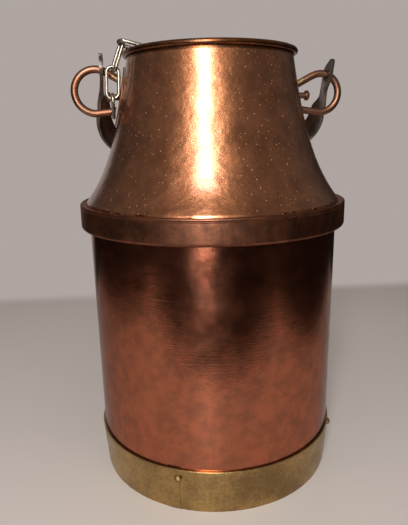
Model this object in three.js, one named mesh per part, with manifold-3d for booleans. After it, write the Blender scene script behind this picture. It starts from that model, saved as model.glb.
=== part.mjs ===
// A small copper milk can: a straight body in a brass foot band, a hammered shoulder and neck with a
// wired rim, two rod ears, a strap bail that hangs behind the neck, and a steel chain over the rim.
// Millimetres, +Z up. The origin is on the floor, in the middle of the foot. The ears lie along X.

import * as THREE from "three";
import { mergeVertices } from "three/addons/utils/BufferGeometryUtils.js";
import Module from "manifold-3d";

const wasm = await Module();
wasm.setup();

// Sizes that everything shares
const gap = 0.3;
const holeGap = 0.4;
const copperSheet = 1.0;
const rounds = 52;
const overrun = 5;

// Body
const bodyTopRadius = 105.7;
const bodyTaper = 1.5;
const bandTaper = 3.0;
const bodyTopHeight = 238.2;
const bodyFootHeight = 1.0;

// Base plate, a shallow dish soldered inside the body
const baseHeight = 9.0;
const baseFlange = 6.0;
const baseCrown = 3.0;
const baseCornerRadius = 3.0;

// Foot band
const bandHeight = 38.0;
const bandSheet = 1.5;
const bandEdgeRadius = 0.5;

// Foot rivets
const footRivetTurns = [-116.5, -20.5, 63.5, 153.5];
const footRivetDrop = 8.0;
const footRivetHeadRadius = 3.2;
const footRivetHead = 2.6;
const footRivetShankRadius = 1.5;
const footRivetTailRadius = 2.6;
const footRivetTail = 1.0;

// Neck, whose height runs from the shoulder's edge to the rim's top
const neckHeight = 119.1;
const neckDrawIn = 34.2;
const shoulderPullShares = { drop: 0.201, rise: 0.101 };
const throatPullShares = { drop: 0.677, rise: 0.278 };
const neckSteps = 10;

// Rolled rim round its wire
const rimFlare = 3.1;
const rimDepth = 6.6;
const rimWireRadius = 0.9;
const rimCurlTurn = 285;
const rimSteps = 7;

// Collar over the joint of body and shoulder
const collarStandOut = 7.0;
const collarHeight = 20.3;
const collarSheet = 1.2;
const collarSkirtRoom = 5.2;
const collarBead = 1.4;
const collarCornerRadius = 3.6;
const collarGroove = 0.5;
const collarBeadTurns = [-30, 150];

// Ears: a rod ring, its back plate and a headed stud on each side. The two rings were bent by hand and
// differ. Each drop is measured down from the rim's top, and each stand-out from the rim's edge.
const rightEar = { standOut: 24.8, drop: 33.1, radius: 15.9, upperLegDrop: 28.1, lowerLegDrop: 46.0 };
const leftEar = { standOut: 22.1, drop: 30.6, radius: 17.1, upperLegDrop: 24.2, lowerLegDrop: 45.4 };
const earRodRadius = 3.0;
const earBendTurn = 105;
const earSteps = 9;
const earRings = 23;
const earSamples = 729;
const plateLength = 46.0;
const plateWidth = 19.0;
const plateSheet = 1.2;
const studDrop = 35.0;
const studShankRadius = 2.5;
const studHeadRadius = 4.2;
const studHead = 4.0;
const studHeadEdge = 0.3;
const studStandOff = 6.6;
const studTailRadius = 4.2;
const studTail = 1.6;

// Bail
const bailEyeStandOut = 23.8;
const bailShift = 7.0;
const bailEyeDrop = 0.55;
const bailThickness = 3.0;
const bailTipLength = 15.5;
const bailTipWidth = 2.6;
const bailEyeWidth = 14.2;
const bailEyeHoleRadius = 4.9;
const bailLegWidth = 10.0;
const bailGripWidth = 19.0;
const bailFlareStart = 24.0;
const bailFlareEnd = 38.0;
const bailDish = 3.0;
const bailLegLength = 44.0;
const bailGripRise = 29.0;
const bailGripRoom = 14.53;
const bailTwistStart = 8.0;
const rightLeg = { spread: 5.5, twist: 14 };
const leftLeg = { spread: 2.8, twist: 32 };
const bailTilt = 41.4;
const bailSteps = 22;
const bailTipShares = [
  [-1, 1],
  [-0.85, 1.8],
];
const bailThroatShares = [-0.5, 0.8];
const bailEyeShares = [
  [-0.5, 0.8],
  [-0.25, 1],
  [0.25, 1],
  [0.5, 0.85],
];

// Chain
const linkWireRadius = 1.4;
const linkLength = 26.8;
const linkWidth = 12.4;
const linkSteps = 16;
const linkSides = 6;
const linkGap = 0.45;
const chainStandOut = 9.0;
const firstLinkLean = 57.0;
const secondLinkLean = 3.0;
const thirdLinkLean = 21.0;
const thirdLinkTurn = 15.0;
const fourthLinkDrop = 14.0;
const fourthLinkTurn = -15.0;
const fourthLinkShares = { along: -0.86, across: -1.29, facing: 1.11 };
const hangingLinks = 5;
const straightOnShare = 0.5;

// Sizes that follow from those above
const bodyBandRadius = bodyTopRadius - bodyTaper;
const bodyFootRadius = bodyBandRadius - bandTaper;
const rimRadius = bodyTopRadius - neckDrawIn;
const footRivetHeight = bandHeight - footRivetDrop;
const skirtRadius = bodyTopRadius + holeGap + copperSheet;
const shoulderHeight = bodyTopHeight + gap;
const rimHeight = shoulderHeight + neckHeight;
const mouthRadius = rimRadius - rimFlare;
const mouthHeight = rimHeight - rimDepth;
const collarRadius = bodyTopRadius + collarStandOut;
const collarTopHeight = shoulderHeight - gap * 2;
const collarFootHeight = collarTopHeight - collarHeight;
const skirtFootHeight = collarFootHeight + collarSheet + collarSkirtRoom;
const studHeight = rimHeight - studDrop;
const chainReach = rimRadius + chainStandOut;
const bailEyeReach = rimRadius + bailEyeStandOut;

// Colours, metalness and roughness
const copper = () => new THREE.MeshStandardMaterial({ color: 0x8a4b30, metalness: 1, roughness: 0.35 });
const darkCopper = () => new THREE.MeshStandardMaterial({ color: 0x4a3528, metalness: 1, roughness: 0.5 });
const brass = () => new THREE.MeshStandardMaterial({ color: 0x9c8048, metalness: 1, roughness: 0.4 });
const steel = () => new THREE.MeshStandardMaterial({ color: 0xb8b4a8, metalness: 1, roughness: 0.25 });

const can = new THREE.Group();
const radians = THREE.MathUtils.degToRad;

function add(name, geometry, material, parent = can) {
  const mesh = new THREE.Mesh(geometry, material);
  mesh.name = name;
  parent.add(mesh);
  return mesh;
}

// How near the middle of a flat comes to the axis, where a round wall has this many flats.
const flatShare = Math.cos(Math.PI / rounds);

// A closed mesh as a solid that can be joined and cut, and back again.
function solid(geometry) {
  const bare = geometry.clone();
  bare.deleteAttribute("normal");
  bare.deleteAttribute("uv");
  const merged = mergeVertices(bare, 1e-4);
  return new wasm.Manifold(
    new wasm.Mesh({
      numProp: 3,
      vertProperties: new Float32Array(merged.attributes.position.array),
      triVerts: new Uint32Array(merged.index.array),
    }),
  );
}

function geometryOf(body) {
  const mesh = body.getMesh();
  const geometry = new THREE.BufferGeometry();
  geometry.setAttribute("position", new THREE.BufferAttribute(mesh.vertProperties, mesh.numProp));
  geometry.setIndex(new THREE.BufferAttribute(mesh.triVerts, 1));
  return geometry.toNonIndexed();
}

// A ring or disc turned round Z from [radius, height] points that run anticlockwise.
function turned(points, closed = true, count = rounds) {
  const profile = points.map(([radius, height]) => new THREE.Vector2(radius, height));
  if (closed) profile.push(profile[0].clone());
  return new THREE.LatheGeometry(profile, count).rotateX(Math.PI / 2);
}

// A round pin along X, from [radius, distance] points that start and end on its axis.
function pin(points, sides) {
  const profile = points.map(([radius, along]) => new THREE.Vector2(radius, along));
  return new THREE.LatheGeometry(profile, sides).rotateZ(-Math.PI / 2);
}

function arc(centre, radius, from, to, steps) {
  return Array.from({ length: steps + 1 }, (_, i) => {
    const angle = radians(from + ((to - from) * i) / steps);
    return [centre[0] + radius * Math.cos(angle), centre[1] + radius * Math.sin(angle)];
  });
}

// The neck's outline, one curve from the shoulder's edge to the mouth.
const neckDrop = skirtRadius - mouthRadius;
const neckRise = mouthHeight - shoulderHeight;
const neckCurve = new THREE.CubicBezierCurve(
  new THREE.Vector2(skirtRadius, shoulderHeight),
  new THREE.Vector2(
    skirtRadius - neckDrop * shoulderPullShares.drop,
    shoulderHeight + neckRise * shoulderPullShares.rise,
  ),
  new THREE.Vector2(
    skirtRadius - neckDrop * throatPullShares.drop,
    shoulderHeight + neckRise * throatPullShares.rise,
  ),
  new THREE.Vector2(mouthRadius, mouthHeight),
);

// Points along the neck, moved out from its surface by a distance along the normal.
function neckLine(distance, steps = neckSteps) {
  return Array.from({ length: steps + 1 }, (_, i) => {
    const at = neckCurve.getPoint(i / steps);
    const along = neckCurve.getTangent(i / steps);
    return [at.x + along.y * distance, at.y - along.x * distance];
  });
}

// The neck's outer radius at a height.
function neckRadius(height) {
  let low = 0;
  let high = 1;
  while (high - low > Number.EPSILON * neckSteps) {
    const middle = (low + high) / 2;
    if (neckCurve.getPoint(middle).y < height) low = middle;
    else high = middle;
  }
  return neckCurve.getPoint(low).x;
}

// A solid core of the neck, grown by a distance, that plates and rods are cut to.
function neckCore(distance) {
  const line = neckLine(distance, neckSteps);
  return solid(turned([[0, line[0][1]], ...line, [0, line[neckSteps][1]]], false));
}

function cylinderAlongX(radius, from, to, height, sides = 16) {
  const geometry = new THREE.CylinderGeometry(radius, radius, to - from, sides).rotateZ(Math.PI / 2);
  return solid(geometry.translate((from + to) / 2, 0, height));
}

// Holes for the foot rivets, through body and band.
function bodyRadiusAt(height) {
  const low = height < bandHeight;
  const from = low ? [bodyFootRadius, bodyFootHeight] : [bodyBandRadius, bandHeight];
  const to = low ? [bodyBandRadius, bandHeight] : [bodyTopRadius, bodyTopHeight];
  return from[0] + ((to[0] - from[0]) * (height - from[1])) / (to[1] - from[1]);
}

const rivetFace = bodyRadiusAt(footRivetHeight) + gap + bandSheet;

function pierced(geometry) {
  const hole = cylinderAlongX(
    footRivetShankRadius + holeGap,
    bodyFootRadius - overrun,
    rivetFace + overrun,
    footRivetHeight,
    12,
  );
  return geometryOf(
    footRivetTurns.reduce((body, turn) => body.subtract(hole.rotate([0, 0, turn])), solid(geometry)),
  );
}

// Body, base plate and foot band
add(
  "body_shell",
  pierced(
    turned([
      [bodyFootRadius - copperSheet, bodyFootHeight],
      [bodyFootRadius, bodyFootHeight],
      [bodyBandRadius, bandHeight],
      [bodyTopRadius, bodyTopHeight],
      [bodyTopRadius - copperSheet, bodyTopHeight],
      [bodyBandRadius - copperSheet, bandHeight],
    ]),
  ),
  copper(),
);

function baseProfile() {
  const reach = (height) => bodyRadiusAt(height) - copperSheet - gap;
  const foot = baseHeight - baseFlange;
  const corner = baseHeight - baseCornerRadius;
  const outer = arc([reach(corner) - baseCornerRadius, corner], baseCornerRadius, 0, 90, 2);
  const inner = arc(
    [reach(corner) - baseCornerRadius, corner],
    baseCornerRadius - copperSheet,
    90,
    0,
    2,
  );
  return [
    [0, baseHeight + baseCrown - copperSheet],
    [outer[2][0] / 2, baseHeight + baseCrown / 2 - copperSheet],
    ...inner,
    [reach(foot) - copperSheet, foot],
    [reach(foot), foot],
    ...outer,
    [outer[2][0] / 2, baseHeight + baseCrown / 2],
    [0, baseHeight + baseCrown],
  ];
}

add("base_plate", turned(baseProfile(), false), copper());

function bandProfile() {
  const inside = (height) => bodyRadiusAt(height) + gap;
  const foot = inside(bodyFootHeight);
  const top = inside(bandHeight);
  return [
    [foot, 0],
    [foot + bandSheet - bandEdgeRadius, 0],
    [foot + bandSheet, bandEdgeRadius],
    [top + bandSheet, bandHeight - bandEdgeRadius],
    [top + bandSheet - bandEdgeRadius, bandHeight],
    [top, bandHeight],
  ];
}

add("foot_band", pierced(turned(bandProfile())), brass());

// A domed rivet along X whose tail sits inside the body and whose head sits on the band.
function footRivet() {
  const tailFace = bodyRadiusAt(footRivetHeight - footRivetTailRadius) * flatShare - copperSheet - gap;
  const slope = (bodyBandRadius - bodyFootRadius) / (bandHeight - bodyFootHeight);
  const headFace = rivetFace + gap + slope * footRivetHeadRadius;
  return pin(
    [
      [0, tailFace - footRivetTail],
      [footRivetTailRadius, tailFace - footRivetTail],
      [footRivetTailRadius, tailFace],
      [footRivetShankRadius, tailFace],
      [footRivetShankRadius, headFace],
      [footRivetHeadRadius, headFace],
      [footRivetHeadRadius * Math.cos(radians(30)), headFace + footRivetHead / 2],
      [footRivetHeadRadius / 2, headFace + footRivetHead * Math.cos(radians(30))],
      [0, headFace + footRivetHead],
    ],
    12,
  ).translate(0, 0, footRivetHeight);
}

footRivetTurns.forEach((turn, i) => {
  add(`foot_rivet_${i + 1}`, footRivet(), brass()).rotation.z = radians(turn);
});

// Neck with its skirt over the body and its edge rolled outwards
const curlRadius = rimWireRadius + holeGap + copperSheet;
const curlCentre = [rimRadius - curlRadius, rimHeight - curlRadius];

function neckProfile() {
  const outside = neckLine(0);
  const inside = neckLine(-copperSheet);
  const curlEnd = 180 - rimCurlTurn;
  return [
    [skirtRadius, skirtFootHeight],
    ...outside,
    ...arc(curlCentre, curlRadius - copperSheet, 180, curlEnd, rimSteps),
    ...arc(curlCentre, curlRadius, curlEnd, 180, rimSteps),
    ...inside.reverse(),
    [skirtRadius - copperSheet, skirtFootHeight],
  ];
}

const studFace = neckRadius(studHeight - studHeadRadius) + gap + plateSheet;
const studHole = cylinderAlongX(
  studShankRadius + holeGap,
  mouthRadius - overrun * 2,
  studFace + overrun,
  studHeight,
);
const bothHoles = studHole.add(studHole.rotate([0, 0, 180]));

add("neck_shell", geometryOf(solid(turned(neckProfile())).subtract(bothHoles)), copper());

add(
  "rim_wire",
  new THREE.TorusGeometry(curlCentre[0], rimWireRadius, 5, rounds).translate(0, 0, curlCentre[1]),
  steel(),
);

// Collar: a hollow band, open towards the can, with a bead round its top
function collarProfile() {
  const skirt = skirtRadius + gap;
  const body = bodyTopRadius + gap;
  const bead = [collarRadius - collarBead, collarTopHeight - collarBead];
  const corner = [collarRadius - collarCornerRadius, collarFootHeight + collarCornerRadius];
  const wallTop = bead[1] - collarBead;
  return [
    [body, collarFootHeight],
    ...arc(corner, collarCornerRadius, -90, 0, 3),
    [collarRadius, wallTop - collarGroove],
    [collarRadius - collarGroove, wallTop + collarGroove / 2],
    ...arc(bead, collarBead, ...collarBeadTurns, 4),
    [skirt, bead[1] + collarGroove],
    [skirt, bead[1] + collarGroove - collarSheet],
    [collarRadius - collarSheet - collarGroove, bead[1] + collarGroove - collarSheet],
    [collarRadius - collarSheet - collarGroove, wallTop - collarGroove],
    [collarRadius - collarSheet, wallTop - collarGroove * 2],
    ...arc(corner, collarCornerRadius - collarSheet, 0, -90, 3),
    [body, collarFootHeight + collarSheet],
  ];
}

add("shoulder_collar", turned(collarProfile()), copper());

// Back plate: a leaf with two points, bent to the neck
function leafOutline() {
  const outline = new THREE.Shape();
  const half = plateLength / 2;
  outline.moveTo(0, -half);
  outline.quadraticCurveTo(plateWidth / 2, -half / 2, plateWidth / 2, 0);
  outline.quadraticCurveTo(plateWidth / 2, half / 2, 0, half);
  outline.quadraticCurveTo(-plateWidth / 2, half / 2, -plateWidth / 2, 0);
  outline.quadraticCurveTo(-plateWidth / 2, -half / 2, 0, -half);
  return outline;
}

const leafPrism = solid(
  new THREE.ExtrudeGeometry(leafOutline(), { depth: skirtRadius, bevelEnabled: false, curveSegments: 5 })
    .rotateX(Math.PI / 2)
    .rotateZ(Math.PI / 2)
    .translate(0, 0, studHeight),
);
const plateShell = neckCore(gap + plateSheet).subtract(neckCore(gap));
const plate = geometryOf(plateShell.intersect(leafPrism).subtract(studHole));
const rodSeat = neckCore(gap + plateSheet + gap);

// Ring: a rod bent to a horseshoe whose two legs end on the plate
function earPath(ear) {
  const upper = rimHeight - ear.upperLegDrop;
  const lower = rimHeight - ear.lowerLegDrop;
  const start = neckRadius(upper) - overrun;
  const end = neckRadius(lower) - overrun;
  const centre = [rimRadius + ear.standOut, rimHeight - ear.drop];
  const bend = arc(centre, ear.radius, earBendTurn, -earBendTurn, earSteps);
  const points = [
    [start, upper - overrun / 2],
    [(start + bend[0][0]) / 2 + overrun / 4, (upper + bend[0][1]) / 2],
    ...bend,
    [(end + bend[earSteps][0]) / 2 + overrun / 4, (lower + bend[earSteps][1]) / 2],
    [end, lower + overrun / 5],
  ];
  return new THREE.CatmullRomCurve3(points.map(([x, z]) => new THREE.Vector3(x, 0, z)));
}

function earRing(ear) {
  const rod = new THREE.Shape().absarc(0, 0, earRodRadius, 0, Math.PI * 2);
  const bent = new THREE.ExtrudeGeometry(rod, {
    steps: earRings,
    curveSegments: 5,
    extrudePath: earPath(ear),
    bevelEnabled: false,
  });
  return geometryOf(solid(bent).subtract(rodSeat));
}

// Stud: a thick headed pin through plate and neck
function stud() {
  const tailFace = neckRadius(studHeight + studTailRadius) - copperSheet - gap * 2;
  const headFace = studFace + studStandOff;
  return pin(
    [
      [0, tailFace - studTail],
      [studTailRadius, tailFace - studTail],
      [studTailRadius, tailFace],
      [studShankRadius, tailFace],
      [studShankRadius, headFace],
      [studHeadRadius - studHeadEdge, headFace],
      [studHeadRadius, headFace + studHead / 4],
      [studHeadRadius, headFace + studHead / 2],
      [studHeadRadius * Math.cos(radians(45)), headFace + studHead * Math.cos(radians(30))],
      [0, headFace + studHead],
    ],
    14,
  ).translate(0, 0, studHeight);
}

[["right", rightEar, 0], ["left", leftEar, Math.PI]].forEach(([side, ear, turn]) => {
  const holder = new THREE.Group();
  holder.rotation.z = turn;
  can.add(holder);
  add(`ear_plate_${side}`, plate.clone(), copper(), holder);
  add(`ear_ring_${side}`, earRing(ear), copper(), holder);
  add(`ear_stud_${side}`, stud(), copper(), holder);
});

// Bail: a strap whose eyes ride on the tops of the two rings, so its axis leans as they differ in
// height. Its own frame has the eyes' axis along X, hangs down along -Z and has the width along Y.
function ringTop(ear, reach) {
  const aside = reach - rimRadius - ear.standOut;
  return rimHeight - ear.drop + Math.sqrt(ear.radius ** 2 - aside ** 2);
}

const rightTop = ringTop(rightEar, bailEyeReach + bailShift);
const leftTop = ringTop(leftEar, bailEyeReach - bailShift);
const eyeHeight = (rightTop + leftTop) / 2 - bailEyeDrop;
const bail = new THREE.Group();
bail.position.set(bailShift, 0, eyeHeight);
bail.rotation.set(radians(bailTilt), Math.atan2(leftTop - rightTop, bailEyeReach * 2), 0, "YXZ");
can.add(bail);

// The grip's middle lies behind the neck, and how far that is from the eyes gives the hoop its depth
// and bow.
const gripHeight = shoulderHeight + bailGripRise;
const gripDrop = eyeHeight - gripHeight;
const gripBack = neckRadius(gripHeight) + bailGripRoom;
const tilt = radians(bailTilt);
const bailDepth = gripBack * Math.sin(tilt) + gripDrop * Math.cos(tilt) - bailLegLength;
const bailBow = gripBack * Math.cos(tilt) - gripDrop * Math.sin(tilt);

function smooth(share) {
  const x = Math.min(Math.max(share, 0), 1);
  return x * x * (3 - 2 * x);
}

// One leg's stations from tip to arc: across, down, bow, width and twist.
function bailLeg(leg) {
  const downs = [
    ...bailTipShares.map(([along, wide]) => [bailTipLength * along, bailTipWidth * wide]),
    [bailTipLength * bailThroatShares[0], bailLegWidth * bailThroatShares[1]],
    ...bailEyeShares.map(([along, wide]) => [bailEyeWidth * along, bailEyeWidth * wide]),
    [bailEyeWidth, bailLegWidth],
    [bailFlareStart, bailLegWidth],
    [(bailFlareStart + bailFlareEnd) / 2, (bailLegWidth + bailGripWidth) / 2],
    [bailFlareEnd, bailGripWidth],
  ];
  return downs.map(([down, width]) => ({
    across: bailEyeReach + leg.spread * smooth(down / bailLegLength),
    down,
    bow: 0,
    width,
    twist: leg.twist * smooth((down - bailTwistStart) / (bailLegLength - bailTwistStart)),
  }));
}

function bailArc() {
  return Array.from({ length: bailSteps + 1 }, (_, i) => {
    const angle = (Math.PI * i) / bailSteps;
    const side = Math.cos(angle);
    const leg = side > 0 ? rightLeg : leftLeg;
    return {
      across: (bailEyeReach + leg.spread) * side,
      down: bailLegLength + bailDepth * Math.sin(angle),
      bow: bailBow * Math.sin(angle) ** 2,
      width: bailGripWidth,
      twist: leg.twist * Math.abs(side),
    };
  });
}

function bailStrap() {
  const left = bailLeg(leftLeg).map((s) => ({ ...s, across: -s.across }));
  const stations = [...bailLeg(rightLeg), ...bailArc(), ...left.reverse()];
  const sides = [1, 0.5, -0.5, -1];
  const rings = stations.map((s, i) => {
    const before = stations[Math.max(i - 1, 0)];
    const after = stations[Math.min(i + 1, stations.length - 1)];
    const run = new THREE.Vector2(after.across - before.across, after.down - before.down).normalize();
    const out = new THREE.Vector2(run.y, -run.x);
    const dished = smooth((s.width - bailLegWidth) / (bailGripWidth - bailLegWidth));
    const dish = s.down > bailFlareStart ? bailDish * dished : 0;
    const twist = radians(s.twist);
    const point = (share, face) => {
      const lift = (face * bailThickness) / 2 - dish * share * share;
      const aside = (share * s.width) / 2;
      const outwards = lift * Math.cos(twist) - aside * Math.sin(twist);
      const back = aside * Math.cos(twist) + lift * Math.sin(twist);
      return [s.across + out.x * outwards, s.bow + back, -(s.down + out.y * outwards)];
    };
    return [...sides.map((side) => point(side, 1)), ...sides.map((side) => point(-side, -1))];
  });
  return skin(rings);
}

// A closed skin over a row of rings with equal numbers of points, and flat ends.
function skin(rings) {
  const count = rings[0].length;
  const positions = [];
  const face = (...corners) => corners.forEach((c) => positions.push(...c));
  for (let i = 0; i + 1 < rings.length; i++) {
    for (let j = 0; j < count; j++) {
      const k = (j + 1) % count;
      face(rings[i][j], rings[i][k], rings[i + 1][k]);
      face(rings[i][j], rings[i + 1][k], rings[i + 1][j]);
    }
  }
  const first = rings[0];
  const last = rings[rings.length - 1];
  for (let j = 1; j + 1 < count; j++) {
    face(first[0], first[j + 1], first[j]);
    face(last[0], last[j], last[j + 1]);
  }
  const geometry = new THREE.BufferGeometry();
  geometry.setAttribute("position", new THREE.Float32BufferAttribute(positions, 3));
  return geometry;
}

const eyeHoles = [-1, 1]
  .map((side) =>
    cylinderAlongX(
      bailEyeHoleRadius,
      side * bailEyeReach - bailThickness,
      side * bailEyeReach + bailThickness,
      0,
    ),
  )
  .reduce((a, b) => a.add(b));

add("bail_handle", geometryOf(solid(bailStrap()).subtract(eyeHoles)), darkCopper(), bail);

// Chain: oval links, each through the end of the one before it. Directions lie in planes along the
// chain's fall: the first leans towards the front on the ear's lower leg, the next two climb to the
// rim, the fourth lies over it and the rest hang inside the mouth.
const bendRadius = linkWidth / 2 - linkWireRadius;
const halfReach = linkLength / 2 - linkWireRadius;
const seat = linkWireRadius * 2 + linkGap;

// A link with its long axis along Z and its flat across Y.
function link() {
  const ring = new THREE.TorusGeometry(bendRadius, linkWireRadius, linkSides, linkSteps);
  ring.rotateZ(Math.PI / linkSteps);
  const at = ring.getAttribute("position");
  for (let i = 0; i < at.count; i++) {
    at.setY(i, at.getY(i) + Math.sign(at.getY(i)) * (halfReach - bendRadius));
  }
  return ring.rotateX(Math.PI / 2).rotateZ(Math.PI / 2);
}

const climb = (lean) => new THREE.Vector3(Math.sin(radians(lean)), 0, Math.cos(radians(lean)));
const chainPlan = [
  { run: new THREE.Vector3(0, -Math.sin(radians(firstLinkLean)), Math.cos(radians(firstLinkLean))) },
  { run: climb(secondLinkLean), turn: 90 },
  { run: climb(thirdLinkLean), turn: thirdLinkTurn },
  { run: climb(90 + fourthLinkDrop), turn: fourthLinkTurn, shares: fourthLinkShares },
  ...Array.from({ length: hangingLinks }, () => ({ run: new THREE.Vector3(0, 0, -1) })),
];

// The width direction of a link: turned about its run from the Y axis, or square to a wire.
function widthAlong(run, turn) {
  return new THREE.Vector3(0, 1, 0).applyAxisAngle(run, radians(turn));
}

const firstSeat = earRodRadius + linkWireRadius + linkGap;
let crossed = new THREE.Vector3(1, 0, 0);
const lowerLeg = earPath(leftEar).getPoints(earSamples).findLast((point) => point.x > chainReach);
let near = new THREE.Vector3(-chainReach, 0, lowerLeg.z).addScaledVector(chainPlan[0].run, -firstSeat);
let far = near;
chainPlan.forEach(({ run, turn, shares }, i) => {
  const width = turn === undefined ? new THREE.Vector3().crossVectors(crossed, run) : widthAlong(run, turn);
  width.addScaledVector(run, -width.dot(run)).normalize();
  const facing = new THREE.Vector3().crossVectors(width, run);
  if (shares) {
    near = far
      .addScaledVector(run, shares.along * seat)
      .addScaledVector(width, shares.across * seat)
      .addScaledVector(facing, shares.facing * seat);
  }
  const holder = new THREE.Group();
  holder.matrixAutoUpdate = false;
  holder.matrix.makeBasis(facing, width, run).setPosition(near.clone().addScaledVector(run, halfReach));
  can.add(holder);
  add(`chain_link_${i + 1}`, link(), steel(), holder);
  if (i + 1 === chainPlan.length) return;
  far = near.clone().addScaledVector(run, halfReach * 2);
  const next = chainPlan[i + 1].run;
  const pull = next.clone().addScaledVector(facing, -next.dot(facing));
  if (pull.length() < straightOnShare) pull.copy(run);
  pull.normalize();
  crossed = new THREE.Vector3().crossVectors(facing, pull);
  near = near
    .clone()
    .addScaledVector(run, halfReach * 2 - bendRadius)
    .addScaledVector(pull, bendRadius)
    .addScaledVector(next.clone().addScaledVector(crossed, -next.dot(crossed)).normalize(), -seat);
});

export default can;
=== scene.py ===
"""A small copper milk can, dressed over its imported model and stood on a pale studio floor."""

import math

import bpy
from mathutils import Matrix, Vector


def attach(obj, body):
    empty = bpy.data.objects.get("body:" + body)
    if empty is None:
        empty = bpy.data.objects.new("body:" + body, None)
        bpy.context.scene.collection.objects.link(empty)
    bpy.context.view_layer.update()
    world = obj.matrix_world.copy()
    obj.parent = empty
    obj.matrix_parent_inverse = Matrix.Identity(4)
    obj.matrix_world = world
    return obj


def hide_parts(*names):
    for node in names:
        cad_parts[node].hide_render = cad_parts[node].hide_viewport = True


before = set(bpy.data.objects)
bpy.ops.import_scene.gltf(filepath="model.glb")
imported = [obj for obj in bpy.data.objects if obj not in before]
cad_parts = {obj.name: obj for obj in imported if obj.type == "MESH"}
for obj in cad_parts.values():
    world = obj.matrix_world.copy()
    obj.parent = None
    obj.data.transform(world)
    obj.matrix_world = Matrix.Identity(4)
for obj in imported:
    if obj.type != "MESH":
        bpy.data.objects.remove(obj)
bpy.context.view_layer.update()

bl_info = {
    "name": "Copper milk can",
    "version": (1, 0, 0),
    "blender": (4, 5, 0),
    "location": "View3D > Sidebar > Milk can",
    "description": "Builds a hammered copper milk can with a brass foot, a strap bail and a chain",
    "category": "Object",
}


# Sizes and looks


def length(name, text, default):
    return bpy.props.FloatProperty(
        name=name, description=text, default=default, unit="LENGTH", precision=4
    )


def tint(name, text, default):
    return bpy.props.FloatVectorProperty(
        name=name, description=text, default=default, subtype="COLOR", size=3, min=0, max=1
    )


def share(name, text, default):
    return bpy.props.FloatProperty(name=name, description=text, default=default, min=0, max=1)


class MilkCanBody(bpy.types.PropertyGroup):
    sheet: length("Sheet", "Thickness of the copper sheet", 0.001)
    foot_radius: length("Foot radius", "Outer radius of the body at its foot", 0.1012)
    band_radius: length("Radius at band", "Outer radius of the body at the band's top", 0.1042)
    top_radius: length("Top radius", "Outer radius of the body under the collar", 0.1057)
    foot_height: length("Foot height", "Height of the body's lower edge", 0.001)
    top_height: length("Top height", "Height of the body's upper edge", 0.2382)
    band_height: length("Band height", "Height of the brass foot band", 0.038)
    band_sheet: length("Band sheet", "Thickness of the brass band", 0.0015)
    lap_start: length("Lap start", "Where the lap starts, measured round from its rivet", -0.010)
    lap_width: length("Lap width", "How far the band's end lies over its start", 0.011)
    collar_radius: length("Collar radius", "Outer radius of the shoulder collar", 0.1127)


class MilkCanNeck(bpy.types.PropertyGroup):
    skirt_radius: length("Skirt radius", "Outer radius of the neck's skirt", 0.1071)
    skirt_foot: length("Skirt foot", "Height of the skirt's lower edge", 0.224)
    shoulder_height: length("Shoulder height", "Height where the shoulder starts to draw in", 0.2385)
    mouth_radius: length("Mouth radius", "Outer radius of the neck under its rim", 0.0684)
    mouth_height: length("Mouth height", "Height where the rim starts to curl", 0.351)
    rim_radius: length("Rim radius", "Outer radius of the rolled rim", 0.0715)
    rim_height: length("Rim height", "Height of the rolled rim's top", 0.3576)
    roll_radius: length("Roll radius", "Outer radius of the roll itself", 0.0023)


class MilkCanBail(bpy.types.PropertyGroup):
    eye_half: length("Half span", "Half the distance between the bail's eyes", 0.0953)
    shift: length("Shift", "How far the bail has slid to the right on its rings", 0.007)
    eye_height: length("Eye height", "Height of the bail's axis", 0.34069)
    thickness: length("Thickness", "Thickness of the strap", 0.003)
    leg_width: length("Leg width", "Width of the strap under its eyes", 0.010)
    grip_width: length("Grip width", "Width of the strap at the grip", 0.019)
    dish: length("Dish", "How far the grip's edges curl inwards", 0.003)
    tilt: bpy.props.FloatProperty(
        name="Tilt", description="How far the bail hangs back", default=math.radians(41.4), subtype="ANGLE"
    )
    lean: bpy.props.FloatProperty(
        name="Lean", description="How far the bail's axis leans to the right", default=0.0212, subtype="ANGLE"
    )


class MilkCanChain(bpy.types.PropertyGroup):
    wire_radius: length("Wire radius", "Radius of the chain's wire", 0.0014)
    link_length: length("Link length", "Outer length of a link", 0.0268)
    link_width: length("Link width", "Outer width of a link", 0.0124)


class MilkCanMetals(bpy.types.PropertyGroup):
    neck: tint("Neck copper", "Colour of the hammered neck", (0.57, 0.215, 0.09))
    # Also the base colour of the rolled rim, where its darkness is painted shade.
    neck_dark: tint("Neck patina", "Colour of the neck's brown patina", (0.31, 0.105, 0.036))
    body: tint("Body copper", "Colour of the body's copper", (0.49, 0.158, 0.085))
    body_dark: tint("Body stains", "Colour of the body's stains", (0.21, 0.095, 0.06))
    collar: tint("Collar copper", "Colour of the shoulder collar", (0.30, 0.112, 0.06))
    ear: tint("Ear copper", "Colour of the ears' rods", (0.31, 0.165, 0.108))
    bail: tint("Bail patina", "Colour of the bail's dark patina", (0.33, 0.255, 0.21))
    bail_dark: tint("Bail tarnish", "Colour of the bail's darkest parts", (0.06, 0.05, 0.04))
    brass: tint("Band brass", "Colour of the foot band", (0.47, 0.31, 0.125))
    brass_dark: tint("Band tarnish", "Colour of the band's tarnish", (0.22, 0.14, 0.06))
    steel: tint("Chain steel", "Colour of the chain", (0.45, 0.41, 0.33))
    tin: tint("Tinning", "Colour of the tinned inside", (0.42, 0.40, 0.37))
    neck_dent: length("Neck dents", "Depth of the dents in the neck's sheet", 0.00016)
    body_dent: length("Body dents", "Depth of the dents in the body's sheet", 0.00006)
    hammer_depth: length("Hammer depth", "Depth of the hammer marks", 0.00009)


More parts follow.
